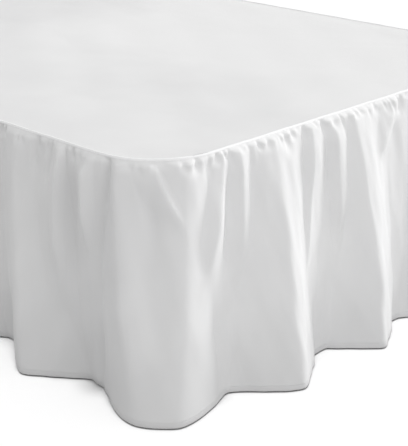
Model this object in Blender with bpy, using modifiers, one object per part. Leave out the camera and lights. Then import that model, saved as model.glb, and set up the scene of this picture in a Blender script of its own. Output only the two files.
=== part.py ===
# Gathered bed skirt on a plain single bed base, in metres, +Z up, standing on the floor at Z = 0.
# The foot of the bed faces -Y and the head faces +Y. The skirt goes round the two long sides and the foot.
import math
import random

import bmesh
import bpy

# Bed and skirt
BED_WIDTH = 0.99            # seam to seam across the foot
BED_LENGTH = 1.905          # foot seam to the platform cloth's head edge
DECK_HEIGHT = 0.38          # floor to the top of the platform cloth, which is the skirt's drop
CORNER_RADIUS = 0.113       # the two foot corners, at the seam
HEAD_RADIUS = 0.010         # the two head corners
CLOTH = 0.0015              # thickness of every cloth
GAP = 0.0003                # left between pieces that touch

# Piping in the seam
PIPING_RADIUS = 0.0025
PIPING_DROP = 0.0010        # its centre below the top of the platform cloth

# Bed base under the cloth
BASE_INSET = 0.006          # base side inside the seam line
BASE_LIFT = 0.040           # floor to the base's underside
FOOT_RADIUS = 0.028
FOOT_INSET = (0.16, 0.20)   # foot centres from the seam line, across and along
FOOT_ROWS = 3               # rows of feet along the bed
ARC_STEPS = 14              # straight steps round a foot corner of the platform cloth and piping
BASE_ARC_STEPS = 10         # the same for the base
HEAD_ARC_STEPS = 4          # round a head corner
FOOT_SIDES = 24             # flats round a foot

# Gathered strip
NEAR_STEP = 0.0085          # grid step along the seam round the left foot corner
FAR_STEP = 0.0175           # grid step on the rest
NEAR_RUN = (-0.36, 0.62)    # places between which the near step is used
LEVELS = (0.0, 0.025, 0.09, 0.22, 0.42, 0.70, 1.0)  # grid rows, as a share of the drop
SEAM_REACH = 0.0010         # strip's outer face outside the seam line, at the seam
BULGE = 0.0042              # how far the gathers push the strip out just under the seam
BULGE_DEPTH = 0.014         # share of the drop over which they do
SEAM_RIDGE = 0.0080         # height of a fold's ridge just under the seam
SPREAD = 0.8                # how soon a ridge widens and rises on its way down, 1 for evenly
BLEND = 5.0                 # how sharply two ridges that meet run together
CREST = 0.13                # rounding of a ridge's crest, as a share of its flank
FOOT = 0.02                 # rounding at a flank's foot, as a share of its ridge's height
NARROWEST = 0.015           # narrowest flank that the grid holds
RISE_FROM = -0.08           # share of the drop, above the seam, from which short ridges rise
FADE_FROM = 0.5             # share of a short ridge's run after which it dies away
GATHER_PITCH = 0.038        # mean pitch of the puckers at the seam
GATHER_DRIFTS = (           # how their pitch drifts along the seam
    # part of a pitch, wavelength, phase
    (0.35, 0.333, 0.0),
    (0.25, 0.132, 1.3),
)
GATHER_HEIGHT = 0.0022      # half height of a pucker
GATHER_DEPTH = 0.08         # share of the drop over which the puckers die away

# Places along the seam are measured from the middle of the left foot corner,
# positive along the foot and negative along the left side.
# Each fold is a ridge with a flat flank on either side, running from the seam to the hem.
# seam, mid and hem: its place at the seam, half way down and at the hem; reach: height at the hem;
# left_top and right_top, left and right: width of its flanks at the seam and at the hem.
FOLDS = (
    # seam, mid, hem, reach, left_top, right_top, left, right
    (-0.455, -0.445, -0.430, 0.056, 0.041, 0.053, 0.075, 0.097),
    (-0.263, -0.246, -0.221, 0.064, 0.051, 0.045, 0.093, 0.098),
    (-0.050, -0.036, -0.016, 0.069, 0.016, 0.077, 0.062, 0.102),
    (0.038, 0.025, 0.014, 0.069, 0.060, 0.034, 0.104, 0.062),
    (0.212, 0.196, 0.182, 0.071, 0.052, 0.074, 0.090, 0.098),
    (0.402, 0.402, 0.380, 0.058, 0.022, 0.080, 0.068, 0.088),
    (0.635, 0.615, 0.578, 0.056, 0.050, 0.050, 0.090, 0.090),
)

# Each short ridge stands among the folds and dies away above the hem.
# grow: its width at its end against that at the seam;
# rise and end: shares of the drop at which it has its full height and has died away.
SHORTS = (
    # seam, mid, reach, left, right, grow, rise, end
    (-0.178, -0.180, 0.022, 0.050, 0.022, 2.6, 0.30, 1.05),
    (-0.104, -0.098, 0.010, 0.016, 0.016, 1.0, 0.10, 0.45),
    (0.109, 0.048, 0.022, 0.014, 0.012, 6.2, 0.32, 0.95),
    (0.139, 0.125, 0.012, 0.022, 0.028, 1.2, 0.10, 0.64),
    (0.303, 0.262, 0.017, 0.016, 0.048, 1.0, 0.16, 1.00),
    (0.352, 0.353, 0.015, 0.022, 0.054, 0.6, 0.10, 0.68),
    (0.518, 0.396, 0.013, 0.040, 0.030, 1.0, 0.10, 0.32),
)

# Low swells that lie on the folds
SWELLS = (
    # seam, mid, reach, left, right, grow, rise, end
    (-0.108, -0.100, 0.013, 0.050, 0.045, 1.0, 0.10, 1.10),
)

# How far the bottoms of the valleys stand out from the seam line at the hem
FLARE = (
    # place, reach
    (-1.90, 0.018),
    (-1.10, 0.014),
    (-0.70, 0.016),
    (-0.325, -0.004),
    (-0.110, -0.004),
    (0.094, 0.027),
    (0.304, 0.044),
    (0.474, 0.060),
    (0.760, 0.052),
    (0.940, 0.040),
    (1.200, 0.022),
    (2.000, 0.014),
    (2.830, 0.018),
)

# Folds out of the tables' reach, spread by rule
FOLD_PITCH = (0.165, 0.215)
FOLD_REACH = (0.050, 0.072)
FOLD_FLANK = (0.070, 0.100)
FLANK_AT_SEAM = 0.55                # width of a flank at the seam, as a share of its width at the hem
FOLD_LEAN = (-0.010, 0.060)         # seam place less hem place
FOLD_BOW = (0.0, 0.014)             # place half way down from the straight line between the two
PARTNER_SHARE = 0.6                 # share of folds that a short ridge runs into
PARTNER_SEAM = (0.060, 0.095)       # that ridge from the fold, at the seam
PARTNER_LEAN = (0.030, 0.060)       # its seam place less its place half way down
PARTNER_REACH = (0.014, 0.020)
PARTNER_FLANK = (0.018, 0.028)
PARTNER_END = (0.60, 0.80)
PARTNER_GROW = 1.2
SHORT_RISE = 0.1
SHORT_OFFSET = (-0.02, 0.03)        # a short ridge between two folds, from the middle between their hems
SHORT_LEAN = 0.01
SHORT_REACH = (0.009, 0.014)
SHORT_FLANK = (0.014, 0.024)
SHORT_END = (0.35, 0.60)
LEFT_RUN = (-1.83, -0.56)           # places where the rule's folds begin and end, on each side of the tables
RIGHT_RUN = (0.75, 2.77)
FIRST_OFFSET = (0.0, 0.05)          # first fold's hem from the beginning of its stretch
SEED = 11

HALF_ARC = CORNER_RADIUS * math.pi / 4
FOOT_STRAIGHT = BED_WIDTH - 2 * CORNER_RADIUS
SIDE_STRAIGHT = BED_LENGTH - CORNER_RADIUS
SEAM_START = -(HALF_ARC + SIDE_STRAIGHT)
SEAM_END = 3 * HALF_ARC + FOOT_STRAIGHT + SIDE_STRAIGHT
STRIP_TOP = DECK_HEIGHT - PIPING_DROP - PIPING_RADIUS - GAP


def clear_scene():
    for obj in list(bpy.data.objects):
        bpy.data.objects.remove(obj, do_unlink=True)


def make_material(name, color, roughness):
    material = bpy.data.materials.new(name)
    material.use_nodes = True
    shader = material.node_tree.nodes["Principled BSDF"]
    shader.inputs["Base Color"].default_value = (*color, 1.0)
    shader.inputs["Roughness"].default_value = roughness
    shader.inputs["Metallic"].default_value = 0.0
    return material


# The seam line: its point and outward direction at a place
def seam_line(place):
    half_width = BED_WIDTH / 2
    half_length = BED_LENGTH / 2
    left = -half_width + CORNER_RADIUS
    right = half_width - CORNER_RADIUS
    front = -half_length + CORNER_RADIUS
    if place < -HALF_ARC:
        return (-half_width, front - HALF_ARC - place), (-1.0, 0.0)
    if place <= HALF_ARC:
        turn = (place + HALF_ARC) / CORNER_RADIUS
        out = (-math.cos(turn), -math.sin(turn))
        return (left + CORNER_RADIUS * out[0], front + CORNER_RADIUS * out[1]), out
    along = place - HALF_ARC
    if along < FOOT_STRAIGHT:
        return (left + along, -half_length), (0.0, -1.0)
    along -= FOOT_STRAIGHT
    if along < 2 * HALF_ARC:
        turn = along / CORNER_RADIUS
        out = (math.sin(turn), -math.cos(turn))
        return (right + CORNER_RADIUS * out[0], front + CORNER_RADIUS * out[1]), out
    return (half_width, front + along - 2 * HALF_ARC), (1.0, 0.0)


def smooth_step(low, high, value):
    share = min(max((value - low) / (high - low), 0.0), 1.0)
    return share * share * (3.0 - 2.0 * share)


# A value read from rows of place and reach, eased from row to row
def read_rows(rows, place):
    for (low, low_reach), (high, high_reach) in zip(rows, rows[1:]):
        if place <= high:
            return low_reach + (high_reach - low_reach) * smooth_step(low, high, place)
    return rows[-1][1]


# Folds and short ridges for one stretch outside the tables, from the pitches and heights above
def spread_folds(start, stop, dice):
    folds = []
    shorts = []
    hem = start + dice.uniform(*FIRST_OFFSET)
    while hem < stop:
        seam = hem + dice.uniform(*FOLD_LEAN)
        mid = (seam + hem) / 2 + dice.uniform(*FOLD_BOW)
        reach, left, right = [dice.uniform(*sizes) for sizes in (FOLD_REACH, FOLD_FLANK, FOLD_FLANK)]
        folds.append((seam, mid, hem, reach, left * FLANK_AT_SEAM, right * FLANK_AT_SEAM, left, right))
        if dice.random() < PARTNER_SHARE:
            place = seam + dice.uniform(*PARTNER_SEAM)
            sizes = (PARTNER_LEAN, PARTNER_REACH, PARTNER_FLANK, PARTNER_END)
            lean, height, flank, end = [dice.uniform(*pair) for pair in sizes]
            shorts.append((place, place - lean, height, flank, flank, PARTNER_GROW, SHORT_RISE, end))
        pitch = dice.uniform(*FOLD_PITCH)
        place = hem + pitch / 2 + dice.uniform(*SHORT_OFFSET)
        sizes = (SHORT_REACH, SHORT_FLANK, SHORT_FLANK, SHORT_END)
        height, left, right, end = [dice.uniform(*pair) for pair in sizes]
        shorts.append((place, place - SHORT_LEAN, height, left, right, 1.0, SHORT_RISE, end))
        hem += pitch
    return folds, shorts


def all_folds():
    dice = random.Random(SEED)
    left_folds, left_shorts = spread_folds(*LEFT_RUN, dice)
    right_folds, right_shorts = spread_folds(*RIGHT_RUN, dice)
    return left_folds + list(FOLDS) + right_folds, left_shorts + list(SHORTS) + right_shorts


# A ridge across the strip: 1 at its crest, and flat flanks down to nothing
def tent(offset, left, right):
    away = abs(offset) / max(left if offset < 0 else right, NARROWEST)
    crest = math.hypot(away, CREST) - CREST
    height = 1.0 - crest / (math.hypot(1.0, CREST) - CREST)
    return (height + math.hypot(height, FOOT)) / 2


# Height of one fold at a place and a share of the drop
def fold_height(fold, place, drop):
    seam, mid, hem, reach, left_top, right_top, left, right = fold
    opened = drop ** SPREAD
    track = seam * (1 - drop) * (1 - 2 * drop) + 4 * mid * drop * (1 - drop) + hem * drop * (2 * drop - 1)
    height = SEAM_RIDGE + (reach - SEAM_RIDGE) * opened
    left_now = left_top + (left - left_top) * opened
    right_now = right_top + (right - right_top) * opened
    return height * tent(place - track, left_now, right_now)


def short_height(short, place, drop):
    seam, mid, reach, left, right, grow, rise, end = short
    track = seam + (mid - seam) * 2 * drop
    fade = 1.0 - smooth_step(FADE_FROM * end, end, drop)
    height = reach * smooth_step(RISE_FROM, rise, drop) * fade
    wider = 1.0 + (grow - 1.0) * drop / end
    return height * tent(place - track, left * wider, right * wider)


# Small uneven puckers that die away under the seam
def pucker(place, drop):
    wave = place / GATHER_PITCH
    for part, length, phase in GATHER_DRIFTS:
        wave += part * math.sin(2 * math.pi * place / length + phase)
    return GATHER_HEIGHT * math.cos(2 * math.pi * wave) * math.exp(-drop / GATHER_DEPTH)


# How far the strip's outer face stands out from the seam line
def strip_reach(folds, shorts, place, drop):
    heights = [fold_height(fold, place, drop) for fold in folds]
    heights += [short_height(short, place, drop) for short in shorts]
    ridges = sum(height ** BLEND for height in heights) ** (1.0 / BLEND)
    swells = sum(short_height(swell, place, drop) for swell in SWELLS)
    gathers = BULGE + ridges + swells + pucker(place, drop)
    flare = read_rows(FLARE, place) * drop
    return SEAM_REACH + gathers * smooth_step(0.0, BULGE_DEPTH, drop) + flare


# Points round a rectangle with two radii at the foot and two at the head, grown or shrunk by an offset
def rounded_outline(offset, foot_steps, head_steps):
    half_width = BED_WIDTH / 2
    half_length = BED_LENGTH / 2
    corners = (
        # centre x sign, y sign, radius at the seam line, first angle, steps
        (-1, -1, CORNER_RADIUS, math.pi, foot_steps),
        (1, -1, CORNER_RADIUS, 1.5 * math.pi, foot_steps),
        (1, 1, HEAD_RADIUS, 0.0, head_steps),
        (-1, 1, HEAD_RADIUS, 0.5 * math.pi, head_steps),
    )
    points = []
    for x_sign, y_sign, radius, first, steps in corners:
        center_x = x_sign * (half_width - radius)
        center_y = y_sign * (half_length - radius)
        for step in range(steps + 1):
            angle = first + 0.5 * math.pi * step / steps
            reach = radius + offset
            points.append((center_x + reach * math.cos(angle), center_y + reach * math.sin(angle)))
    return points


# A flat plate cut to an outline, standing from z_low to z_high
def make_plate(name, outline, z_low, z_high, material):
    curve = bpy.data.curves.new(name, "CURVE")
    curve.dimensions = "2D"
    curve.fill_mode = "BOTH"
    curve.extrude = (z_high - z_low) / 2
    spline = curve.splines.new("POLY")
    spline.points.add(len(outline) - 1)
    for point, (x, y) in zip(spline.points, outline):
        point.co = (x, y, 0.0, 1.0)
    spline.use_cyclic_u = True
    curve.materials.append(material)
    plate = bpy.data.objects.new(name, curve)
    plate.location.z = (z_low + z_high) / 2
    return plate


def make_deck(material):
    outline = rounded_outline(-(PIPING_RADIUS + GAP), ARC_STEPS, HEAD_ARC_STEPS)
    return make_plate("deck", outline, DECK_HEIGHT - CLOTH, DECK_HEIGHT, material)


def make_base(material):
    outline = rounded_outline(-BASE_INSET, BASE_ARC_STEPS, HEAD_ARC_STEPS)
    return make_plate("bed_base", outline, BASE_LIFT, DECK_HEIGHT - CLOTH - GAP, material)


def make_piping(material):
    curve = bpy.data.curves.new("piping", "CURVE")
    curve.dimensions = "3D"
    curve.bevel_depth = PIPING_RADIUS
    curve.bevel_resolution = 2
    curve.use_fill_caps = True
    turns = [HALF_ARC * (2 * step / ARC_STEPS - 1) for step in range(ARC_STEPS + 1)]
    places = [SEAM_START, -0.5 * (HALF_ARC + SIDE_STRAIGHT)]
    places += turns
    far_corner = 2 * HALF_ARC + FOOT_STRAIGHT
    places += [far_corner + turn for turn in turns]
    places += [SEAM_END - SIDE_STRAIGHT / 2, SEAM_END]
    spline = curve.splines.new("POLY")
    spline.points.add(len(places) - 1)
    for point, place in zip(spline.points, places):
        (x, y), _ = seam_line(place)
        point.co = (x, y, DECK_HEIGHT - PIPING_DROP, 1.0)
    curve.materials.append(material)
    return bpy.data.objects.new("piping", curve)


# Places of the grid's columns, closer together round the left foot corner
def column_places():
    places = []
    stretches = ((SEAM_START, NEAR_RUN[0], FAR_STEP), (*NEAR_RUN, NEAR_STEP), (NEAR_RUN[1], SEAM_END, FAR_STEP))
    for start, stop, step in stretches:
        count = round((stop - start) / step)
        places += [start + (stop - start) * index / count for index in range(count)]
    return places + [SEAM_END]


# The strip's outer face as a grid, gathered round the seam line
def make_strip_face():
    folds, shorts = all_folds()
    places = column_places()
    columns = len(places) - 1
    rows = len(LEVELS) - 1
    mesh = bpy.data.meshes.new("ruffle_face")
    grid = bmesh.new()
    bmesh.ops.create_grid(grid, x_segments=columns, y_segments=rows, size=0.5)
    for vert in grid.verts:
        place = places[round((vert.co.x + 0.5) * columns)]
        drop = LEVELS[round((0.5 - vert.co.y) * rows)]
        (x, y), out = seam_line(place)
        reach = strip_reach(folds, shorts, place, drop)
        vert.co = (x + out[0] * reach, y + out[1] * reach, STRIP_TOP * (1.0 - drop))
    bmesh.ops.recalc_face_normals(grid, faces=grid.faces)
    middle = min(grid.faces, key=lambda face: face.calc_center_median().y)
    if middle.normal.y > 0:
        bmesh.ops.reverse_faces(grid, faces=grid.faces)
    grid.to_mesh(mesh)
    grid.free()
    return mesh


# The strip as one closed cloth, thickened inwards, with its hem and top edge cut level
def make_ruffle(material):
    face = bpy.data.objects.new("ruffle_face", make_strip_face())
    bpy.context.scene.collection.objects.link(face)
    solidify = face.modifiers.new("cloth", "SOLIDIFY")
    solidify.thickness = CLOTH
    solidify.offset = -1.0
    evaluated = face.evaluated_get(bpy.context.evaluated_depsgraph_get())
    mesh = bpy.data.meshes.new_from_object(evaluated)
    bpy.data.objects.remove(face, do_unlink=True)
    mesh.name = "ruffle"
    for vert in mesh.vertices:
        if vert.co.z < CLOTH:
            vert.co.z = 0.0
        if vert.co.z > STRIP_TOP - CLOTH:
            vert.co.z = STRIP_TOP
    mesh.shade_smooth()
    mesh.materials.clear()
    mesh.materials.append(material)
    return bpy.data.objects.new("ruffle", mesh)


def make_feet(material):
    feet = []
    height = BASE_LIFT - GAP
    reach_x = BED_WIDTH / 2 - FOOT_INSET[0]
    reach_y = BED_LENGTH / 2 - FOOT_INSET[1]
    for row in range(FOOT_ROWS):
        y = reach_y * (2 * row / (FOOT_ROWS - 1) - 1)
        for side, x in (("left", -reach_x), ("right", reach_x)):
            mesh = bpy.data.meshes.new("foot")
            shape = bmesh.new()
            bmesh.ops.create_cone(shape, cap_ends=True, segments=FOOT_SIDES, radius1=FOOT_RADIUS,
                                  radius2=FOOT_RADIUS, depth=height)
            shape.to_mesh(mesh)
            shape.free()
            mesh.materials.append(material)
            foot = bpy.data.objects.new(f"foot_{side}_{row + 1}", mesh)
            foot.location = (x, y, height / 2)
            feet.append(foot)
    return feet


# Lowest and highest corners of the finished objects, across and along
def plan_box(objects):
    graph = bpy.context.evaluated_depsgraph_get()
    corners = []
    for obj in objects:
        evaluated = obj.evaluated_get(graph)
        mesh = evaluated.to_mesh()
        corners += [evaluated.matrix_world @ vert.co for vert in mesh.vertices]
        evaluated.to_mesh_clear()
    xs = [corner.x for corner in corners]
    ys = [corner.y for corner in corners]
    return min(xs), max(xs), min(ys), max(ys)


def build():
    clear_scene()
    skirt_cloth = make_material("skirt_cloth", (0.86, 0.86, 0.87), 0.85)
    deck_cloth = make_material("deck_cloth", (0.84, 0.84, 0.85), 0.80)
    piping_cloth = make_material("piping_cloth", (0.90, 0.90, 0.90), 0.75)
    base_cloth = make_material("base_cloth", (0.62, 0.60, 0.57), 0.90)
    foot_wood = make_material("foot_wood", (0.12, 0.08, 0.05), 0.55)
    pieces = [
        make_base(base_cloth),
        make_deck(deck_cloth),
        make_piping(piping_cloth),
        make_ruffle(skirt_cloth),
        *make_feet(foot_wood),
    ]
    collection = bpy.data.collections.new("bed_skirt")
    bpy.context.scene.collection.children.link(collection)
    bed = bpy.data.objects.new("bed", None)
    collection.objects.link(bed)
    for piece in pieces:
        collection.objects.link(piece)
        piece.parent = bed
    bpy.context.view_layer.update()
    x_low, x_high, y_low, y_high = plan_box(pieces)
    bed.location = (-(x_low + x_high) / 2, -(y_low + y_high) / 2, 0.0)


build()
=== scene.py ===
import math
import random

import bmesh
import bpy
import numpy as np
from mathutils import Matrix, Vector


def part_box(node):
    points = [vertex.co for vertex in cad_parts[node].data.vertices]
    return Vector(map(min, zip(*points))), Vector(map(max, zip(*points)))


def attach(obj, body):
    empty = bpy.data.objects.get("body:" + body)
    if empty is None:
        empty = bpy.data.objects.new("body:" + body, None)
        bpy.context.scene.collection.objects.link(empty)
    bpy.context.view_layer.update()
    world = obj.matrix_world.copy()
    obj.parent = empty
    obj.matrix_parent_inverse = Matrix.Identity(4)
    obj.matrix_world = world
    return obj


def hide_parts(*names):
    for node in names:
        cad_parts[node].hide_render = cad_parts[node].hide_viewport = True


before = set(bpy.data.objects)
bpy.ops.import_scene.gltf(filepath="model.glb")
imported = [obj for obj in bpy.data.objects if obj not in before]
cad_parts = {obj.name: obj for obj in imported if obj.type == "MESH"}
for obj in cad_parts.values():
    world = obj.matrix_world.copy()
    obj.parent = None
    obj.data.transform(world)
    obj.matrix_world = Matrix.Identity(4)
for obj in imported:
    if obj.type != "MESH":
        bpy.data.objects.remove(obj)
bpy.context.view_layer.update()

# White gathered bed skirt on a plain bed base: the cloth pieces, their finishes, the light and the camera

print("frame loaded")

# the seam line comes from the piping's place in the frame
seam = {
    "pipingRadius": 0.0025,
    "cornerRadius": 0.113,
    "deckTop": 0.38,
}
pipingLow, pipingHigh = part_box("piping")
seam["left"] = pipingLow[0] + seam["pipingRadius"]
seam["right"] = pipingHigh[0] - seam["pipingRadius"]
seam["foot"] = pipingLow[1] + seam["pipingRadius"]
seam["head"] = pipingHigh[1]
seam["halfArc"] = seam["cornerRadius"] * math.pi / 4
seam["footStraight"] = seam["right"] - seam["left"] - 2 * seam["cornerRadius"]
seam["sideStraight"] = seam["head"] - seam["foot"] - seam["cornerRadius"]
seam["start"] = -(seam["halfArc"] + seam["sideStraight"])
seam["end"] = 3 * seam["halfArc"] + seam["footStraight"] + seam["sideStraight"]


# point and outward direction at places along the seam, measured from the middle of the left foot corner
def seamLine(place):
    place = np.asarray(place, float)
    radius, halfArc = seam["cornerRadius"], seam["halfArc"]
    leftX, rightX, frontY = seam["left"] + radius, seam["right"] - radius, seam["foot"] + radius
    leftTurn = np.clip((place + halfArc) / radius, 0.0, math.pi / 2)
    rightTurn = np.clip((place - halfArc - seam["footStraight"]) / radius, 0.0, math.pi / 2)
    turn = leftTurn + rightTurn
    outX, outY = -np.cos(turn), -np.sin(turn)
    alongFoot = np.clip(place - halfArc, 0.0, seam["footStraight"])
    leftBack = np.clip(-halfArc - place, 0.0, None)
    rightBack = np.clip(place - 3 * halfArc - seam["footStraight"], 0.0, None)
    x = leftX + alongFoot + radius * outX
    y = frontY + leftBack + rightBack + radius * outY
    return x, y, outX, outY


def smoothStep(low, high, value):
    share = np.clip((value - low) / (high - low), 0.0, 1.0)
    return share * share * (3.0 - 2.0 * share)


# The hanging strip stands out from the seam line in folds. Each is a ridge with a flat flank on either
# side. A fold's row gives its place at the seam, half way down and at the hem, how far it stands out at
# the hem, and the width of its left and right flanks at the seam and at the hem. A short ridge's row gives
# its place at the seam and half way down, its height and flanks, how its width grows, and the shares of
# the drop where it has risen and where it ends. Short ridges stand among the folds. Creases are added on
# top, and are hollows where their height is negative
strip = {
    "top": 0.3786,
    "hemLift": 0.0028,
    "seamReach": 0.0020,
    "bulge": 0.0036,
    "bulgeDepth": 0.014,
    "seamRidge": 0.0080,
    "spread": 0.8,
    "blend": 5.0,
    "crest": 0.13,
    "flankFoot": 0.02,
    "foldReach": 0.30,
    "creaseReach": 0.20,
    "shortRiseFrom": -0.08,
    "shortFadeFrom": 0.5,
    "hemTurn": 0.008,
    "clothFold": 0.0011,
    "closeRun": (-0.36, 0.62),
    "closeStep": 0.0017,
    "farStep": 0.0028,
    "rowStep": (0.0022, 0.0107),
    "rowStepFrom": 0.10,
    "folds": [
        # seam, mid, hem, reach, flanks at the seam, flanks at the hem
        (-0.455, -0.445, -0.430, 0.056, 0.041, 0.053, 0.075, 0.097),
        (-0.263, -0.246, -0.221, 0.064, 0.051, 0.045, 0.093, 0.098),
        (-0.050, -0.036, -0.016, 0.069, 0.016, 0.077, 0.062, 0.102),
        (0.038, 0.025, 0.014, 0.069, 0.060, 0.034, 0.104, 0.062),
        (0.212, 0.196, 0.182, 0.071, 0.052, 0.074, 0.090, 0.098),
        (0.402, 0.402, 0.380, 0.058, 0.022, 0.080, 0.068, 0.088),
        (0.635, 0.615, 0.578, 0.056, 0.050, 0.050, 0.090, 0.090),
    ],
    "shorts": [
        # seam, mid, reach, left, right, grow, rise, end
        (-0.178, -0.180, 0.022, 0.050, 0.022, 2.6, 0.30, 1.05),
        (-0.104, -0.098, 0.010, 0.016, 0.016, 1.0, 0.10, 0.45),
        (0.109, 0.048, 0.022, 0.014, 0.012, 6.2, 0.32, 0.95),
        (0.139, 0.125, 0.012, 0.022, 0.028, 1.2, 0.10, 0.64),
        (0.170, 0.168, 0.006, 0.012, 0.014, 1.0, 0.10, 0.12),
        (0.303, 0.262, 0.017, 0.016, 0.048, 1.0, 0.16, 1.00),
        (0.352, 0.353, 0.015, 0.022, 0.054, 0.6, 0.10, 0.68),
        (0.518, 0.396, 0.013, 0.040, 0.030, 1.0, 0.10, 0.32),
    ],
    "creases": [
        # seam, mid, reach, left, right, grow, rise, end
        (-0.225, -0.228, -0.005, 0.008, 0.010, 1.0, 0.10, 0.18),
        (-0.190, -0.190, -0.006, 0.010, 0.008, 1.0, 0.10, 0.22),
        (-0.164, -0.166, 0.010, 0.014, 0.008, 1.0, 0.06, 0.70),
        (-0.136, -0.136, -0.003, 0.014, 0.012, 1.0, 0.10, 0.50),
        (-0.066, -0.066, -0.007, 0.010, 0.012, 1.0, 0.06, 0.30),
        (-0.108, -0.100, 0.013, 0.050, 0.045, 1.0, 0.10, 1.10),
        (-0.003, 0.068, 0.0085, 0.030, 0.0050, 1.2, 0.10, 0.27),
    ],
    "flare": [
        (-1.90, 0.018), (-1.10, 0.014), (-0.70, 0.016), (-0.325, -0.004), (-0.110, -0.004),
        (0.094, 0.027), (0.304, 0.044), (0.474, 0.060), (0.760, 0.052), (0.940, 0.040),
        (1.200, 0.022), (2.000, 0.014), (2.830, 0.018),
    ],
}

# folds on the stretches away from the photo's corner, spread by rule
foldRule = {
    "pitch": (0.165, 0.215),
    "reach": (0.050, 0.072),
    "flank": (0.070, 0.100),
    "flankAtSeam": 0.55,
    "firstHem": (0.0, 0.05),
    "lean": (-0.010, 0.060),
    "bow": (0.0, 0.014),
    "partnerShare": 0.6,
    "partnerSeam": (0.060, 0.095),
    "partnerLean": (0.030, 0.060),
    "partnerReach": (0.014, 0.020),
    "partnerFlank": (0.018, 0.028),
    "partnerEnd": (0.60, 0.80),
    "partnerGrow": 1.2,
    "shortReach": (0.009, 0.014),
    "shortFlank": (0.014, 0.024),
    "shortEnd": (0.35, 0.60),
    "shortOffset": (-0.02, 0.03),
    "shortLean": 0.01,
    "rise": 0.1,
    "runs": [(-1.83, -0.56), (0.75, 2.77)],
    "seed": 11,
}

# small tucks that the gathering thread pulls in just under the piping
tuckRule = {
    "pitch": (0.006, 0.025),
    "width": (0.0020, 0.0050),
    "depth": (0.0020, 0.0070),
    "length": (0.007, 0.042),
    "lean": (-0.008, 0.010),
    "widening": 1.5,
    "fadeFrom": 0.25,
    "seed": 5,
}

# faint crumpling all over the strip
crumple = {
    "waves": [
        # wavelength along, wavelength down, height, phase
        (0.090, 0.310, 0.0010, 0.4),
        (0.058, -0.260, 0.0008, 2.1),
        (0.033, 0.210, 0.0004, 4.0),
        (0.121, 0.098, 0.0006, 1.2),
        (0.024, -0.120, 0.0002, 5.1),
    ],
    "driftAlong": (0.8, 7.3),
    "driftDown": (0.6, 17.0),
    "fullFrom": 0.15,
}


def spreadFolds(start, stop, dice):
    rule = foldRule
    folds, shorts = [], []
    hem = start + dice.uniform(*rule["firstHem"])
    while hem < stop:
        top = hem + dice.uniform(*rule["lean"])
        mid = (top + hem) / 2 + dice.uniform(*rule["bow"])
        reach, left, right = [dice.uniform(*rule[key]) for key in ("reach", "flank", "flank")]
        leftTop, rightTop = left * rule["flankAtSeam"], right * rule["flankAtSeam"]
        folds.append((top, mid, hem, reach, leftTop, rightTop, left, right))
        if dice.random() < rule["partnerShare"]:
            place = top + dice.uniform(*rule["partnerSeam"])
            lean, height, flank, end = [dice.uniform(*rule["partner" + key])
                                        for key in ("Lean", "Reach", "Flank", "End")]
            shorts.append((place, place - lean, height, flank, flank, rule["partnerGrow"], rule["rise"], end))
        pitch = dice.uniform(*rule["pitch"])
        place = hem + pitch / 2 + dice.uniform(*rule["shortOffset"])
        height, left, right, end = [dice.uniform(*rule["short" + key])
                                    for key in ("Reach", "Flank", "Flank", "End")]
        shorts.append((place, place - rule["shortLean"], height, left, right, 1.0, rule["rise"], end))
        hem += pitch
    return folds, shorts


def allFolds():
    dice = random.Random(foldRule["seed"])
    (leftFolds, leftShorts), (rightFolds, rightShorts) = [spreadFolds(*run, dice) for run in foldRule["runs"]]
    return leftFolds + strip["folds"] + rightFolds, leftShorts + strip["shorts"] + rightShorts


def flareAt(place):
    total = np.full_like(place, strip["flare"][0][1])
    for (low, lowReach), (high, highReach) in zip(strip["flare"], strip["flare"][1:]):
        total += (highReach - lowReach) * smoothStep(low, high, place)
    return total


# a ridge across the strip: flat flanks down to nothing and a slightly rounded crest
def tent(offset, left, right):
    crest = strip["crest"]
    away = np.abs(offset) / np.where(offset < 0, left, right)
    height = 1.0 - (np.sqrt(away ** 2 + crest ** 2) - crest) / (math.sqrt(1.0 + crest ** 2) - crest)
    return 0.5 * (height + np.hypot(height, strip["flankFoot"]))


# one fold over the grid of drops by places
def foldBump(row, place, drop):
    top, mid, hem, reach, leftTop, rightTop, left, right = row
    opened = drop ** strip["spread"]
    track = top * (1 - drop) * (1 - 2 * drop) + 4 * mid * drop * (1 - drop) + hem * drop * (2 * drop - 1)
    height = strip["seamRidge"] + (reach - strip["seamRidge"]) * opened
    leftNow = (leftTop + (left - leftTop) * opened)[:, None]
    rightNow = (rightTop + (right - rightTop) * opened)[:, None]
    return height[:, None] * tent(place - track[:, None], leftNow, rightNow)


def shortBump(row, place, drop):
    top, mid, reach, left, right, grow, rise, end = row
    track = top + (mid - top) * 2 * drop
    fade = 1.0 - smoothStep(strip["shortFadeFrom"] * end, end, drop)
    height = reach * smoothStep(strip["shortRiseFrom"], rise, drop) * fade
    wider = (1.0 + (grow - 1.0) * drop / end)[:, None]
    return height[:, None] * tent(place - track[:, None], left * wider, right * wider)


# the folds and short ridges together, the higher one hiding the lower, and the creases on top
def foldsAt(place, drop):
    folds, shorts = allFolds()
    total = np.zeros((drop.size, place.size))
    for rows, bump in ((folds, foldBump), (shorts, shortBump)):
        for row in rows:
            near = np.abs(place - row[0]) < strip["foldReach"]
            total[:, near] += bump(row, place[near], drop) ** strip["blend"]
    total **= 1.0 / strip["blend"]
    for row in strip["creases"]:
        near = np.abs(place - row[0]) < strip["creaseReach"]
        total[:, near] += shortBump(row, place[near], drop)
    return total


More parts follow.
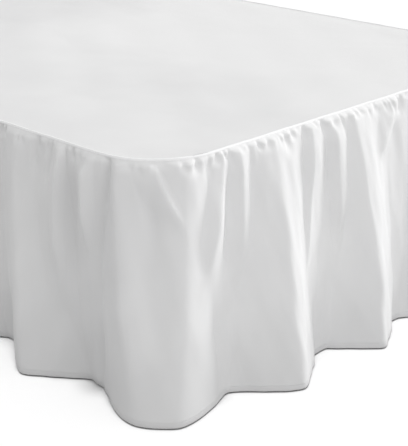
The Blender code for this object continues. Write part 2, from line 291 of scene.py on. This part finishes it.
def tucksAt(place, drop):
    dice = random.Random(tuckRule["seed"])
    depthBelow = drop * strip["top"]
    total = np.zeros((drop.size, place.size))
    top = seam["start"]
    while top < seam["end"]:
        width, depth, length, lean = [dice.uniform(*tuckRule[key])
                                      for key in ("width", "depth", "length", "lean")]
        near = np.abs(place - top) < 0.03
        middle = (top + lean * depthBelow / length)[:, None]
        spread = (width * (1.0 + tuckRule["widening"] * depthBelow / length))[:, None]
        fade = (1.0 - smoothStep(tuckRule["fadeFrom"] * length, length, depthBelow))[:, None]
        total[:, near] -= depth * fade * np.exp(-((place[near] - middle) / spread) ** 2)
        top += dice.uniform(*tuckRule["pitch"])
    return total


def crumpleAt(place, drop):
    p, d = place[None, :], (drop * strip["top"])[:, None]
    (alongShare, alongTurns), (downShare, downTurns) = crumple["driftAlong"], crumple["driftDown"]
    total = np.zeros((drop.size, place.size))
    for along, down, height, phase in crumple["waves"]:
        drift = alongShare * np.sin(p * alongTurns + phase) + downShare * np.sin(d * downTurns + 2 * phase)
        total += height * np.sin(2 * math.pi * (p / along + d / down) + phase + drift)
    return total * smoothStep(0.0, crumple["fullFrom"], drop)[:, None]


def stripReach(place, drop):
    gathers = strip["bulge"] + foldsAt(place, drop) + tucksAt(place, drop)
    open_ = smoothStep(0.0, strip["bulgeDepth"], drop)[:, None]
    flare = flareAt(place)[None, :] * drop[:, None]
    return strip["seamReach"] + gathers * open_ + flare + crumpleAt(place, drop)


# a sheet from grids of points, with its size in metres as its UV map
def gridSheet(name, x, y, z, u, v):
    rows, columns = x.shape
    grid = bmesh.new()
    bmesh.ops.create_grid(grid, x_segments=columns - 1, y_segments=rows - 1, size=0.5)
    mesh = bpy.data.meshes.new(name)
    grid.to_mesh(mesh)
    grid.free()
    flat = np.empty(len(mesh.vertices) * 3)
    mesh.vertices.foreach_get("co", flat)
    flat = flat.reshape(-1, 3)
    column = np.rint((flat[:, 0] + 0.5) * (columns - 1)).astype(int)
    row = np.rint((0.5 - flat[:, 1]) * (rows - 1)).astype(int)
    points = np.stack([x[row, column], y[row, column], z[row, column]], axis=1)
    mesh.vertices.foreach_set("co", points.ravel())
    corner = np.empty(len(mesh.loops), dtype=int)
    mesh.loops.foreach_get("vertex_index", corner)
    layer = mesh.uv_layers.new(name="metres")
    uv = np.stack([u[row, column][corner], v[row, column][corner]], axis=1)
    layer.data.foreach_set("uv", uv.ravel())
    mesh.update()
    mesh.shade_smooth()
    sheet = bpy.data.objects.new(name, mesh)
    bpy.context.scene.collection.objects.link(sheet)
    return sheet


def meshArea(obj):
    return sum(face.area for face in obj.data.polygons)


# places along the seam and depths below it where the strip's grid lines run
def stripGridLines():
    closeStep, farStep, closeRun = strip["closeStep"], strip["farStep"], strip["closeRun"]
    place = np.concatenate([
        np.linspace(seam["start"], closeRun[0], int((closeRun[0] - seam["start"]) / farStep), endpoint=False),
        np.linspace(*closeRun, int((closeRun[1] - closeRun[0]) / closeStep), endpoint=False),
        np.linspace(closeRun[1], seam["end"], int((seam["end"] - closeRun[1]) / farStep) + 1),
    ])
    full = strip["top"] - strip["hemLift"]
    firstStep, lastStep = strip["rowStep"]
    depth = [0.0]
    while depth[-1] < full:
        share = min(depth[-1] / strip["rowStepFrom"], 1.0)
        depth.append(depth[-1] + firstStep + (lastStep - firstStep) * share)
    return place, np.array(depth) * full / depth[-1]


def buildStrip():
    place, depth = stripGridLines()
    drop = depth / strip["top"]
    reach = stripReach(place, drop)
    z = np.repeat((strip["top"] - depth)[:, None], place.size, axis=1)
    # the hem: round the bottom edge and up again behind the strip
    fold, turn = strip["clothFold"], strip["hemTurn"]
    lastReach, lastZ = reach[-1], z[-1]
    slope = (reach[-1] - reach[-2]) / (z[-1] - z[-2])
    hemRows = [
        # inwards, up, cloth from the bottom edge
        (0.5 * fold, -0.45 * fold, 0.0006),
        (fold, 0.0, 0.0012),
        (fold, 0.5 * turn, 0.5 * turn),
        (fold, turn, turn),
    ]
    for inward, up, _ in hemRows:
        reach = np.vstack([reach, lastReach - inward + slope * up])
        z = np.vstack([z, lastZ + up])
    v = np.concatenate([depth, depth[-1] + np.array([row[2] for row in hemRows])])
    x, y, outX, outY = seamLine(place)
    x = x[None, :] + outX[None, :] * reach
    y = y[None, :] + outY[None, :] * reach
    u = np.repeat(place[None, :], z.shape[0], axis=0)
    v = np.repeat(v[:, None], place.size, axis=1)
    sheet = gridSheet("skirtStrip", x, y, z, u, v)
    hemRun = np.hypot(np.diff(x[len(depth) - 1]), np.diff(y[len(depth) - 1])).sum()
    print("strip:", len(sheet.data.polygons) * 2, "triangles, hem", round(hemRun, 3), "m, area",
          round(meshArea(sheet), 3))
    return sheet, hemRun


# the flat cloth on the base: its grid step, how far it stays inside the piping and how it swells and dips
deck = {
    "step": 0.008,
    "gap": 0.0003,
    "lift": 0.0009,
    "border": 0.06,
    "swell": (0.0007, 9.0, 1.0, 6.0, 0.5),
    "ripples": [
        # height, turns across, turns along, phase
        (0.0004, 23.0, 17.0, 0.0),
        (0.0003, 41.0, -29.0, 1.7),
    ],
}


def buildDeck():
    inset = seam["pipingRadius"] + deck["gap"]
    step = deck["step"]
    left, right, foot, head = seam["left"] + inset, seam["right"] - inset, seam["foot"] + inset, seam["head"]
    radius = seam["cornerRadius"] - inset
    gx = np.linspace(left, right, int((right - left) / step) + 1)
    gy = np.linspace(foot, head, int((head - foot) / step) + 1)
    x = np.repeat(gx[None, :], gy.size, axis=0)
    y = np.repeat(gy[::-1][:, None], gx.size, axis=1)
    # draw the two foot corners in to their radius
    fromFoot = np.clip(radius - (y - foot), 0.0, radius)
    edge = radius - np.sqrt(np.clip(radius ** 2 - fromFoot ** 2, 0.0, None))
    middle = (left + right) / 2
    half = (right - left) / 2
    x = middle + (x - middle) * (half - edge) / half
    height, across, acrossPhase, along, alongPhase = deck["swell"]
    rise = height * np.sin(x * across + acrossPhase) * np.sin(y * along + alongPhase)
    for height, across, along, phase in deck["ripples"]:
        rise += height * np.sin(x * across + y * along + phase)
    border = np.minimum.reduce([x - (middle - half + edge), (middle + half - edge) - x, y - foot])
    z = seam["deckTop"] + (rise + deck["lift"]) * smoothStep(0.0, deck["border"], border)
    sheet = gridSheet("platformCloth", x, y, z, x, y)
    print("deck:", len(sheet.data.polygons) * 2, "triangles")
    return sheet


# the covered cord in the seam, a little uneven in height and thickness
pipingLook = {
    "step": 0.006,
    "below": 0.0010,
    "roundness": 3,
    "heightWave": (0.0002, 60.0),
    "radiusWaves": [(0.04, 210.0), (0.03, 530.0)],
}


def buildPiping():
    curve = bpy.data.curves.new("seamPiping", "CURVE")
    curve.dimensions = "3D"
    curve.bevel_depth = seam["pipingRadius"]
    curve.bevel_resolution = pipingLook["roundness"]
    curve.use_fill_caps = True
    place = np.arange(seam["start"], seam["end"], pipingLook["step"])
    place = np.append(place, seam["end"])
    x, y, outX, outY = seamLine(place)
    spline = curve.splines.new("POLY")
    spline.points.add(place.size - 1)
    height = seam["deckTop"] - pipingLook["below"]
    waveHeight, waveTurns = pipingLook["heightWave"]
    for point, px, py, p in zip(spline.points, x, y, place):
        point.co = (px, py, height + waveHeight * math.sin(p * waveTurns), 1.0)
        point.radius = 1.0 + sum(share * math.sin(p * turns) for share, turns in pipingLook["radiusWaves"])
    piping = bpy.data.objects.new("seamPiping", curve)
    bpy.context.scene.collection.objects.link(piping)
    return piping


# finishes

def newGroup(name, inputs, outputs):
    group = bpy.data.node_groups.new(name, "ShaderNodeTree")
    for label, kind, value in inputs:
        socket = group.interface.new_socket(name=label, in_out="INPUT", socket_type=kind)
        if value is not None:
            socket.default_value = value
    for label, kind in outputs:
        group.interface.new_socket(name=label, in_out="OUTPUT", socket_type=kind)
    ends = group.nodes.new("NodeGroupInput"), group.nodes.new("NodeGroupOutput")
    ends[0].location = (-900, 0)
    ends[1].location = (700, 0)
    return group, ends[0], ends[1]


def mathNode(tree, operation, first, second=None):
    node = tree.nodes.new("ShaderNodeMath")
    node.operation = operation
    for index, value in enumerate((first, second)):
        if value is None:
            continue
        if isinstance(value, (int, float)):
            node.inputs[index].default_value = value
        else:
            tree.links.new(value, node.inputs[index])
    return node.outputs[0]


# plain weave: a height that rises and falls with the threads, uneven from thread to thread
def makeWeaveGroup():
    group, start, end = newGroup(
        "plainWeave",
        [("Vector", "NodeSocketVector", None), ("Pitch", "NodeSocketFloat", 0.0006),
         ("Slub", "NodeSocketFloat", 0.4)],
        [("Height", "NodeSocketFloat")],
    )
    turns = mathNode(group, "DIVIDE", math.pi, start.outputs["Pitch"])
    scaled = group.nodes.new("ShaderNodeVectorMath")
    scaled.operation = "SCALE"
    group.links.new(start.outputs["Vector"], scaled.inputs[0])
    group.links.new(turns, scaled.inputs["Scale"])
    split = group.nodes.new("ShaderNodeSeparateXYZ")
    group.links.new(scaled.outputs[0], split.inputs[0])
    warp = mathNode(group, "SINE", split.outputs[0])
    weft = mathNode(group, "SINE", split.outputs[1])
    crossing = mathNode(group, "MULTIPLY", warp, weft)
    ribs = mathNode(group, "ADD", mathNode(group, "ABSOLUTE", warp), mathNode(group, "ABSOLUTE", weft))
    halfCrossing = mathNode(group, "MULTIPLY", crossing, 0.5)
    cloth = mathNode(group, "ADD", halfCrossing, mathNode(group, "MULTIPLY", ribs, 0.25))
    noise = group.nodes.new("ShaderNodeTexNoise")
    noise.inputs["Scale"].default_value = 380.0
    noise.inputs["Detail"].default_value = 3.0
    group.links.new(start.outputs["Vector"], noise.inputs["Vector"])
    slub = mathNode(group, "MULTIPLY", noise.outputs["Fac"], start.outputs["Slub"])
    group.links.new(mathNode(group, "ADD", cloth, slub), end.inputs["Height"])
    return group


# slow drift of tone over the cloth between two near colours, which may lean to the light one across it; a
# lean is painted light, the colour lighter on the side a light comes from
def makeToneGroup():
    group, start, end = newGroup(
        "toneDrift",
        [("Vector", "NodeSocketVector", None), ("Light", "NodeSocketColor", (0.85, 0.85, 0.85, 1.0)),
         ("Dark", "NodeSocketColor", (0.8, 0.8, 0.8, 1.0)), ("Scale", "NodeSocketFloat", 3.0),
         ("Lean", "NodeSocketVector", (0.0, 0.0, 0.0))],
        [("Color", "NodeSocketColor")],
    )
    noise = group.nodes.new("ShaderNodeTexNoise")
    noise.inputs["Detail"].default_value = 4.0
    noise.inputs["Roughness"].default_value = 0.55
    group.links.new(start.outputs["Vector"], noise.inputs["Vector"])
    group.links.new(start.outputs["Scale"], noise.inputs["Scale"])
    spread = group.nodes.new("ShaderNodeMapRange")
    spread.inputs["From Min"].default_value = 0.3
    spread.inputs["From Max"].default_value = 0.7
    lean = group.nodes.new("ShaderNodeVectorMath")
    lean.operation = "DOT_PRODUCT"
    group.links.new(start.outputs["Vector"], lean.inputs[0])
    group.links.new(start.outputs["Lean"], lean.inputs[1])
    leaning = mathNode(group, "ADD", noise.outputs["Fac"], lean.outputs["Value"])
    group.links.new(leaning, spread.inputs["Value"])
    mix = group.nodes.new("ShaderNodeMix")
    mix.data_type = "RGBA"
    group.links.new(spread.outputs["Result"], mix.inputs["Factor"])
    group.links.new(start.outputs["Dark"], mix.inputs["A"])
    group.links.new(start.outputs["Light"], mix.inputs["B"])
    group.links.new(mix.outputs["Result"], end.inputs["Color"])
    return group


# soft creases that handling leaves in thin cloth
def makeCreaseGroup():
    group, start, end = newGroup(
        "softCreases",
        [("Vector", "NodeSocketVector", None), ("Scale", "NodeSocketFloat", 14.0),
         ("Stretch", "NodeSocketFloat", 0.35)],
        [("Height", "NodeSocketFloat")],
    )
    split = group.nodes.new("ShaderNodeSeparateXYZ")
    group.links.new(start.outputs["Vector"], split.inputs[0])
    join = group.nodes.new("ShaderNodeCombineXYZ")
    group.links.new(split.outputs[0], join.inputs[0])
    group.links.new(mathNode(group, "MULTIPLY", split.outputs[1], start.outputs["Stretch"]), join.inputs[1])
    group.links.new(split.outputs[2], join.inputs[2])
    noise = group.nodes.new("ShaderNodeTexNoise")
    noise.inputs["Detail"].default_value = 2.5
    noise.inputs["Roughness"].default_value = 0.5
    noise.inputs["Distortion"].default_value = 0.6
    group.links.new(join.outputs[0], noise.inputs["Vector"])
    group.links.new(start.outputs["Scale"], noise.inputs["Scale"])
    group.links.new(noise.outputs["Fac"], end.inputs["Height"])
    return group


# one row of stitches across the cloth at a set distance down it
def makeStitchGroup():
    group, start, end = newGroup(
        "stitchRow",
        [("Vector", "NodeSocketVector", None), ("Line", "NodeSocketFloat", 0.36),
         ("Pitch", "NodeSocketFloat", 0.0032), ("Width", "NodeSocketFloat", 0.0005)],
        [("Mask", "NodeSocketFloat"), ("Below", "NodeSocketFloat")],
    )
    split = group.nodes.new("ShaderNodeSeparateXYZ")
    group.links.new(start.outputs["Vector"], split.inputs[0])
    turns = mathNode(group, "MULTIPLY", split.outputs[0], math.pi)
    across = mathNode(group, "DIVIDE", turns, start.outputs["Pitch"])
    dash = mathNode(group, "GREATER_THAN", mathNode(group, "ABSOLUTE", mathNode(group, "SINE", across)), 0.45)
    below = mathNode(group, "SUBTRACT", split.outputs[1], start.outputs["Line"])
    near = mathNode(group, "LESS_THAN", mathNode(group, "ABSOLUTE", below), start.outputs["Width"])
    group.links.new(mathNode(group, "MULTIPLY", dash, near), end.inputs["Mask"])
    group.links.new(mathNode(group, "GREATER_THAN", below, 0.0), end.inputs["Below"])
    return group


weaveGroup = makeWeaveGroup()
toneGroup = makeToneGroup()
creaseGroup = makeCreaseGroup()
stitchGroup = makeStitchGroup()


def useGroup(material, group, **values):
    node = material.node_tree.nodes.new("ShaderNodeGroup")
    node.node_tree = group
    for label, value in values.items():
        if hasattr(value, "is_output"):
            material.node_tree.links.new(value, node.inputs[label])
        else:
            node.inputs[label].default_value = value
    return node


def newMaterial(name, roughness):
    material = bpy.data.materials.new(name)
    material.use_nodes = True
    shader = material.node_tree.nodes["Principled BSDF"]
    shader.inputs["Roughness"].default_value = roughness
    shader.inputs["Specular IOR Level"].default_value = 0.25
    return material, shader


def addBump(material, height, distance, strength, normal=None):
    bump = material.node_tree.nodes.new("ShaderNodeBump")
    bump.inputs["Distance"].default_value = distance
    bump.inputs["Strength"].default_value = strength
    material.node_tree.links.new(height, bump.inputs["Height"])
    if normal is not None:
        material.node_tree.links.new(normal, bump.inputs["Normal"])
    return bump.outputs["Normal"]


weaveFinish = {
    "slub": 0.5,
    "depth": 0.00012,
    "strength": 0.7,
}

clothFinishAndPaintedLight = {
    "skirt": {"light": 0.825, "dark": 0.79, "drift": 3.5, "lean": (0.0, 0.0, 0.0), "pitch": 0.0006,
              "creaseScale": 22.0, "stretch": 0.35, "crease": 0.0022},
    # painted light: the deck's lean makes its colour lighter towards +X and -Y, the side the key light comes
    # from, and darker towards -X and +Y
    "deck": {"light": 0.81, "dark": 0.70, "drift": 1.8, "lean": (0.42, -0.34, 0.0), "pitch": 0.0006,
             "creaseScale": 5.0, "stretch": 0.8, "crease": 0.0045},
    "piping": {"light": 0.95, "dark": 0.93, "drift": 3.5, "lean": (0.0, 0.0, 0.0), "pitch": 0.0006,
               "creaseScale": 120.0, "stretch": 1.0, "crease": 0.0006},
    "base": {"light": 0.55, "dark": 0.47, "drift": 3.5, "lean": (0.0, 0.0, 0.0), "pitch": 0.0016,
             "creaseScale": 8.0, "stretch": 1.0, "crease": 0.0010},
}


def clothMaterial(name, look, coordinate):
    material, shader = newMaterial(name, 0.88)
    tree = material.node_tree
    shader.inputs["Sheen Weight"].default_value = 0.12
    shader.inputs["Sheen Roughness"].default_value = 0.5
    source = tree.nodes.new("ShaderNodeTexCoord").outputs[coordinate]
    light, dark = look["light"], look["dark"]
    tone = useGroup(material, toneGroup, Vector=source, Light=(light, light, light, 1.0),
                    Dark=(dark, dark, dark * 1.005, 1.0), Scale=look["drift"], Lean=look["lean"])
    tree.links.new(tone.outputs["Color"], shader.inputs["Base Color"])
    crease = useGroup(material, creaseGroup, Vector=source, Scale=look["creaseScale"],
                      Stretch=look["stretch"])
    weave = useGroup(material, weaveGroup, Vector=source, Pitch=look["pitch"], Slub=weaveFinish["slub"])
    normal = addBump(material, crease.outputs["Height"], look["crease"], 0.8)
    normal = addBump(material, weave.outputs["Height"], weaveFinish["depth"], weaveFinish["strength"], normal)
    tree.links.new(normal, shader.inputs["Normal"])
    return material


hemStitchesAndPaintedShade = {
    "stitchLine": strip["top"] - strip["hemLift"] - strip["hemTurn"],
    "bump": 0.0002,
    # painted shade: from this depth below the seam down to the hem the strip's colour is scaled down to the
    # last share
    "paintedShadeFrom": 0.20,
    "paintedShadeTo": 0.376,
    "paintedShadeTone": 0.90,
}


# the hem: a row of stitches where the cloth is turned up, the doubled cloth a little proud below it,
# and painted shade: the whole strip's colour darkened towards the floor
def addHemAndPaintedShade(material):
    tree = material.node_tree
    shader = tree.nodes["Principled BSDF"]
    source = tree.nodes.new("ShaderNodeTexCoord").outputs["UV"]
    row = useGroup(material, stitchGroup, Vector=source, Line=hemStitchesAndPaintedShade["stitchLine"])
    raised = mathNode(tree, "ADD", row.outputs["Mask"], row.outputs["Below"])
    before = shader.inputs["Normal"].links[0].from_socket
    tree.links.new(addBump(material, raised, hemStitchesAndPaintedShade["bump"], 0.9, before), shader.inputs["Normal"])
    # painted shade: the base colour is scaled darker towards the floor, standing in for the shade near the
    # floor
    split = tree.nodes.new("ShaderNodeSeparateXYZ")
    tree.links.new(source, split.inputs[0])
    spread = tree.nodes.new("ShaderNodeMapRange")
    spread.interpolation_type = "SMOOTHSTEP"
    spread.inputs["From Min"].default_value = hemStitchesAndPaintedShade["paintedShadeFrom"]
    spread.inputs["From Max"].default_value = hemStitchesAndPaintedShade["paintedShadeTo"]
    spread.inputs["To Min"].default_value = 1.0
    spread.inputs["To Max"].default_value = hemStitchesAndPaintedShade["paintedShadeTone"]
    tree.links.new(split.outputs[1], spread.inputs["Value"])
    shade = tree.nodes.new("ShaderNodeVectorMath")
    shade.operation = "SCALE"
    tree.links.new(shader.inputs["Base Color"].links[0].from_socket, shade.inputs[0])
    tree.links.new(spread.outputs["Result"], shade.inputs["Scale"])
    tree.links.new(shade.outputs[0], shader.inputs["Base Color"])
    return material


woodFinish = {
    "roughness": 0.45,
    "ringScale": 40.0,
    "ringDistortion": 6.0,
    "dark": (0.05, 0.028, 0.015, 1.0),
    "light": (0.14, 0.085, 0.05, 1.0),
}


def woodMaterial():
    material, shader = newMaterial("footWood", woodFinish["roughness"])
    tree = material.node_tree
    source = tree.nodes.new("ShaderNodeTexCoord").outputs["Object"]
    wave = tree.nodes.new("ShaderNodeTexWave")
    wave.inputs["Scale"].default_value = woodFinish["ringScale"]
    wave.inputs["Distortion"].default_value = woodFinish["ringDistortion"]
    wave.inputs["Detail"].default_value = 3.0
    tree.links.new(source, wave.inputs["Vector"])
    mix = tree.nodes.new("ShaderNodeMix")
    mix.data_type = "RGBA"
    mix.inputs["A"].default_value = woodFinish["dark"]
    mix.inputs["B"].default_value = woodFinish["light"]
    tree.links.new(wave.outputs["Fac"], mix.inputs["Factor"])
    tree.links.new(mix.outputs["Result"], shader.inputs["Base Color"])
    tree.links.new(addBump(material, wave.outputs["Fac"], 0.0003, 0.5), shader.inputs["Normal"])
    return material


def placePiece(piece, material, node):
    piece.data.materials.clear()
    piece.data.materials.append(material)
    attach(piece, "root")
    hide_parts(node)


skirtStrip, hemRun = buildStrip()
skirtCloth = addHemAndPaintedShade(clothMaterial("skirtCloth", clothFinishAndPaintedLight["skirt"], "UV"))
placePiece(skirtStrip, skirtCloth, "ruffle")

platformCloth = buildDeck()
placePiece(platformCloth, clothMaterial("platformWeave", clothFinishAndPaintedLight["deck"], "UV"), "deck")

seamPiping = buildPiping()
pipingCloth = clothMaterial("pipingCloth", clothFinishAndPaintedLight["piping"], "Object")
placePiece(seamPiping, pipingCloth, "piping")

baseMaterial = clothMaterial("baseCloth", clothFinishAndPaintedLight["base"], "Object")
footMaterial = woodMaterial()
for name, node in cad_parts.items():
    if name == "bed_base":
        node.data.materials.clear()
        node.data.materials.append(baseMaterial)
    if name.startswith("foot_"):
        node.data.materials.clear()
        node.data.materials.append(footMaterial)

print("pieces and finishes done")


# floor, light and camera
studio = {
    "floorHalf": 60.0,
    "floorTone": 0.95,
    "floorBounce": 0.37,
    "skyStrength": 0.65,
    "keyFrom": (0.570, -0.122, 0.24),
    "keyAngle": 24.0,
    "fillFrom": (-0.040, -0.370, 0.08),
    "fillAngle": 70.0,
    "sideFrom": (-0.120, 0.150, 0.0),
    "sideAngle": 50.0,
    "floorLight": 0.45,
    "floorLightAngle": 8.0,
    "cameraFromCorner": (-1.065, -1.131),
    "cameraHeight": 0.905,
    "cameraDown": 21.2,
    "cameraTurn": 45.8,
    "focalPixels": 1200.0,
    "framePixels": (408, 446),
}


def buildFloor():
    mesh = bpy.data.meshes.new("floor")
    grid = bmesh.new()
    bmesh.ops.create_grid(grid, x_segments=2, y_segments=2, size=studio["floorHalf"])
    grid.to_mesh(mesh)
    grid.free()
    floor = bpy.data.objects.new("floor", mesh)
    bpy.context.scene.collection.objects.link(floor)
    material, shader = newMaterial("paleFloor", 0.9)
    tree = material.node_tree
    # white to the eye, and greyer to the light that it sends back up
    seen = tree.nodes.new("ShaderNodeLightPath").outputs["Is Camera Ray"]
    tone = tree.nodes.new("ShaderNodeMix")
    tone.inputs["A"].default_value = studio["floorBounce"]
    tone.inputs["B"].default_value = studio["floorTone"]
    tree.links.new(seen, tone.inputs["Factor"])
    tree.links.new(tone.outputs["Result"], shader.inputs["Base Color"])
    shader.inputs["Specular IOR Level"].default_value = 0.0
    mesh.materials.append(material)
    return floor


# a white room
def buildSky():
    world = bpy.data.worlds.new("studio")
    bpy.context.scene.world = world
    world.use_nodes = True
    background = world.node_tree.nodes["Background"]
    background.inputs["Color"].default_value = (1.0, 1.0, 1.0, 1.0)
    background.inputs["Strength"].default_value = studio["skyStrength"]


# a soft light from one direction, its length being the light that it gives a surface facing it
def softSun(name, towards, angle, lit):
    light = bpy.data.lights.new(name, "SUN")
    direction = Vector(towards)
    light.energy = math.pi * direction.length
    light.angle = math.radians(angle)
    sun = bpy.data.objects.new(name, light)
    sun.rotation_euler = direction.to_track_quat("Z", "Y").to_euler()
    bpy.context.scene.collection.objects.link(sun)
    receivers = bpy.data.collections.new(name + "Lit")
    for obj in lit:
        receivers.objects.link(obj)
    sun.light_linking.receiver_collection = receivers
    return sun


def buildCamera():
    lens = bpy.data.cameras.new("photoCamera")
    lens.sensor_width = 36.0
    lens.lens = lens.sensor_width * studio["focalPixels"] / max(studio["framePixels"])
    camera = bpy.data.objects.new("photoCamera", lens)
    bpy.context.scene.collection.objects.link(camera)
    fromX, fromY = studio["cameraFromCorner"]
    camera.location = (seam["left"] + fromX, seam["foot"] + fromY, studio["cameraHeight"])
    down, turn = math.radians(90 - studio["cameraDown"]), math.radians(studio["cameraTurn"])
    camera.rotation_euler = (down, 0.0, -turn)
    bpy.context.scene.camera = camera


floor = buildFloor()
buildSky()
bedPieces = [skirtStrip, platformCloth, seamPiping, *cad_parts.values()]
softSun("keyLight", studio["keyFrom"], studio["keyAngle"], bedPieces)
softSun("fillLight", studio["fillFrom"], studio["fillAngle"], bedPieces)
softSun("sideLight", studio["sideFrom"], studio["sideAngle"], bedPieces)
softSun("floorLight", (0.0, 0.0, studio["floorLight"]), studio["floorLightAngle"], [floor])
buildCamera()
bpy.context.scene.view_settings.view_transform = "Standard"
print("studio done")
